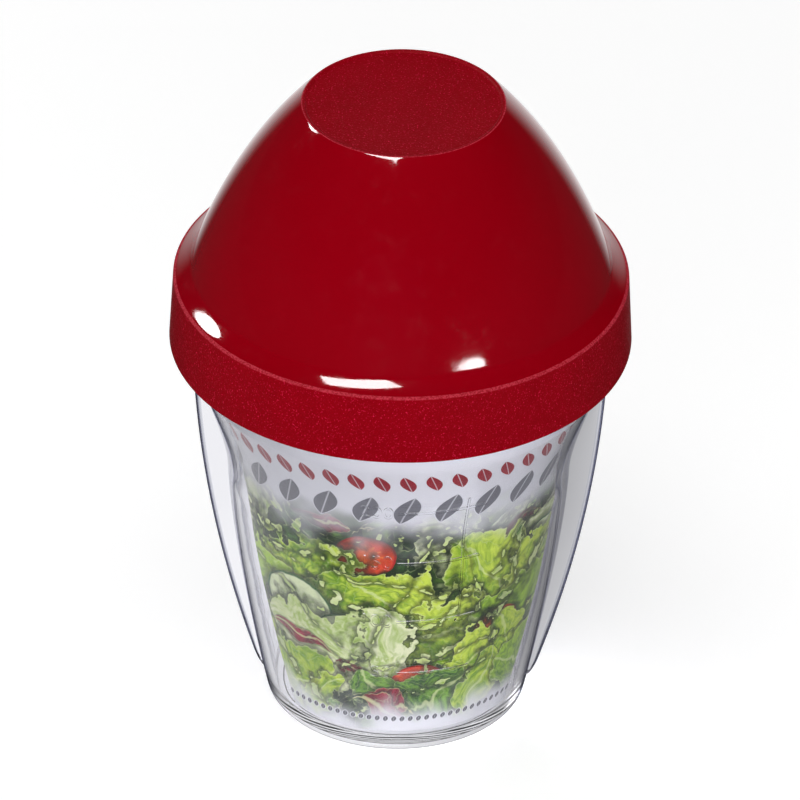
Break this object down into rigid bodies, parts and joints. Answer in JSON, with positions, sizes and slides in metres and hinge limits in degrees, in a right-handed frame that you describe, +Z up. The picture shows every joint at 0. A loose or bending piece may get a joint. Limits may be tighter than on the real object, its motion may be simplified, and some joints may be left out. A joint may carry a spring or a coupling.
{
  "type": "shaker cup",
  "caption": "Clear egg-shaped shaker cup with two side grip fins, a domed screw lid, a sealing ring, a slotted mixing sieve and a printed paper insert behind its front wall.",
  "frame": {"origin": "centre of the foot, on the surface that the cup stands on", "axes": "+Z up along the cup's axis to the lid; the two grip fins lie along +X and -X; the printed front faces -Y"},
  "size_m": [0.0978, 0.0978, 0.1461],
  "materials": {
    "cup_clear": "clear polished injection-moulded plastic with a faint cool tint",
    "lid_red": "crimson moulded plastic, glossy dome, fine matte spark texture on the grip band and the top disc",
    "seal_silicone": "satin translucent-white silicone",
    "sieve_white": "satin white moulded plastic",
    "paper_print": null
  },
  "bodies": {
    "cup": {"cup": "cup_clear", "paper_insert": "paper_print"},
    "seal": {"sealing_ring": "seal_silicone"},
    "lid": {"lid": "lid_red"},
    "sieve": {"mixing_sieve": "sieve_white"}
  },
  "joints": [
    {"name": "lid_rise", "type": "slide", "parent": "cup", "child": "seal", "axis": [0, 0, 1], "range_m": [0, 0.015]},
    {"name": "lid_turn", "type": "hinge", "parent": "seal", "child": "lid", "pos_m": [0, 0, 0.102], "axis": [0, 0, 1], "range_deg": [0, 360]},
    {"name": "sieve_lift", "type": "slide", "parent": "cup", "child": "sieve", "axis": [0, 0, 1], "range_m": [0, 0.015]}
  ],
  "couplings": [
    {"joint": "lid_rise", "follows": "lid_turn", "m_per_rad": 0.0023873}
  ]
}
